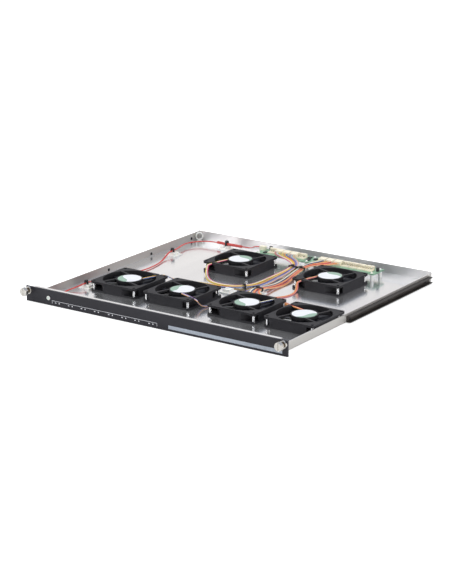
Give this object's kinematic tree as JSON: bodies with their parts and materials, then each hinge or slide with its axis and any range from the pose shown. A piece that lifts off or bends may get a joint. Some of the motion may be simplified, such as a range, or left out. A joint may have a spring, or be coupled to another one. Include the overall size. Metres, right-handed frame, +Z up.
{
  "type": "fan module",
  "caption": "Sliding rack fan tray: a shallow sheet-metal tray with flat axial fans, a fan board with plug-in leads, side rails and a front panel with captive thumbscrews.",
  "frame": {"origin": "middle of the tray's underside, where the module lies on its shelf", "axes": "+X to the right seen from the front, +Y back from the front panel into the chassis, +Z up through the fans"},
  "size_m": [0.4412, 0.4056, 0.0223],
  "materials": {
    "board_green": "green solder mask",
    "bronze": "sintered bronze",
    "chip_black": "black moulded packages",
    "connector_cream": "cream nylon",
    "contact_tin": "tin plate",
    "copper": "enamelled copper wire",
    "core_steel": "laminated steel",
    "fan_plastic": "satin black moulded plastic",
    "impeller_plastic": "satin black moulded plastic",
    "lens": "clear diffused lens",
    "nickel": "bright nickel plate",
    "nylon": "natural white nylon",
    "panel_black": "satin black paint",
    "rail_black": "dark bronze-black coating",
    "rivet_black": "black coating",
    "shaft_steel": "ground steel",
    "sleeve_red": "shrunk sleeve",
    "socket_black": "black moulded plastic",
    "spring_steel": "oiled spring steel",
    "tie_black": "black nylon",
    "tray_sheet": "bright zinc-plated sheet, faintly brushed",
    "wire_mixed": "three insulated wires",
    "wire_red": "two red insulated wires",
    "zinc": "bright zinc plate"
  },
  "bodies": {
    "chassis": {"board_components": "chip_black", "board_standoffs": "nylon", "cable_ties": "tie_black", "control_board": "board_green", "corner_ring": "nylon", "fan_1_frame": "fan_plastic", "fan_1_lead": "wire_mixed", "fan_2_frame": "fan_plastic", "fan_2_lead": "wire_mixed", "fan_3_frame": "fan_plastic", "fan_3_lead": "wire_mixed", "fan_4_frame": "fan_plastic", "fan_4_lead": "wire_mixed", "fan_5_frame": "fan_plastic", "fan_5_lead": "wire_mixed", "fan_6_frame": "fan_plastic", "fan_6_lead": "wire_mixed", "fan_bearings": "bronze", "fan_plugs": "connector_cream", "fan_screws": "zinc", "fan_sockets": "connector_cream", "front_panel": "panel_black", "lamp_holder": "nylon", "lamp_lead": "wire_red", "lamp_lens": "lens", "lamp_socket": "connector_cream", "lead_sleeve": "sleeve_red", "motor_boards": "board_green", "panel_nuts": "zinc", "power_socket": "socket_black", "rail_rivets": "rivet_black", "slide_rail_left": "rail_black", "slide_rail_right": "rail_black", "socket_pins": "contact_tin", "stator_cores": "core_steel", "stator_windings": "copper", "thumbscrew_left_collar": "nickel", "thumbscrew_left_spring": "spring_steel", "thumbscrew_right_collar": "nickel", "thumbscrew_right_spring": "spring_steel", "tie_mounts": "nylon", "tray": "tray_sheet"},
    "impeller_1": {"fan_1_impeller": "impeller_plastic", "fan_1_shaft": "shaft_steel"},
    "impeller_2": {"fan_2_impeller": "impeller_plastic", "fan_2_shaft": "shaft_steel"},
    "impeller_3": {"fan_3_impeller": "impeller_plastic", "fan_3_shaft": "shaft_steel"},
    "impeller_4": {"fan_4_impeller": "impeller_plastic", "fan_4_shaft": "shaft_steel"},
    "impeller_5": {"fan_5_impeller": "impeller_plastic", "fan_5_shaft": "shaft_steel"},
    "impeller_6": {"fan_6_impeller": "impeller_plastic", "fan_6_shaft": "shaft_steel"},
    "washer_left": {"thumbscrew_left_washer": "nickel"},
    "thumbscrew_left": {"thumbscrew_left": "nickel", "thumbscrew_left_clip": "spring_steel"},
    "washer_right": {"thumbscrew_right_washer": "nickel"},
    "thumbscrew_right": {"thumbscrew_right": "nickel", "thumbscrew_right_clip": "spring_steel"}
  },
  "joints": [
    {"name": "fan_1_spin", "type": "hinge", "parent": "chassis", "child": "impeller_1", "pos_m": [-0.132, -0.075, 0.0088], "axis": [0, 0, 1], "continuous": true},
    {"name": "fan_2_spin", "type": "hinge", "parent": "chassis", "child": "impeller_2", "pos_m": [-0.038, -0.075, 0.0088], "axis": [0, 0, 1], "continuous": true},
    {"name": "fan_3_spin", "type": "hinge", "parent": "chassis", "child": "impeller_3", "pos_m": [0.072, -0.075, 0.0088], "axis": [0, 0, 1], "continuous": true},
    {"name": "fan_4_spin", "type": "hinge", "parent": "chassis", "child": "impeller_4", "pos_m": [0.1658, -0.075, 0.0088], "axis": [0, 0, 1], "continuous": true},
    {"name": "fan_5_spin", "type": "hinge", "parent": "chassis", "child": "impeller_5", "pos_m": [-0.0575, 0.094, 0.0088], "axis": [0, 0, 1], "continuous": true},
    {"name": "fan_6_spin", "type": "hinge", "parent": "chassis", "child": "impeller_6", "pos_m": [0.099, 0.094, 0.0088], "axis": [0, 0, 1], "continuous": true},
    {"name": "thumbscrew_left_push", "type": "slide", "parent": "chassis", "child": "washer_left", "axis": [0, 1, 0], "range_m": [0, 0.004], "stiffness_N_per_m": 600, "springref_m": -0.0015, "deforming": ["thumbscrew_left_spring"]},
    {"name": "thumbscrew_left_turn", "type": "hinge", "parent": "washer_left", "child": "thumbscrew_left", "pos_m": [-0.2145, -0.2045, 0.0162], "axis": [0, -1, 0], "continuous": true},
    {"name": "thumbscrew_right_push", "type": "slide", "parent": "chassis", "child": "washer_right", "axis": [0, 1, 0], "range_m": [0, 0.004], "stiffness_N_per_m": 600, "springref_m": -0.0015, "deforming": ["thumbscrew_right_spring"]},
    {"name": "thumbscrew_right_turn", "type": "hinge", "parent": "washer_right", "child": "thumbscrew_right", "pos_m": [0.2145, -0.2045, 0.0162], "axis": [0, -1, 0], "continuous": true}
  ]
}
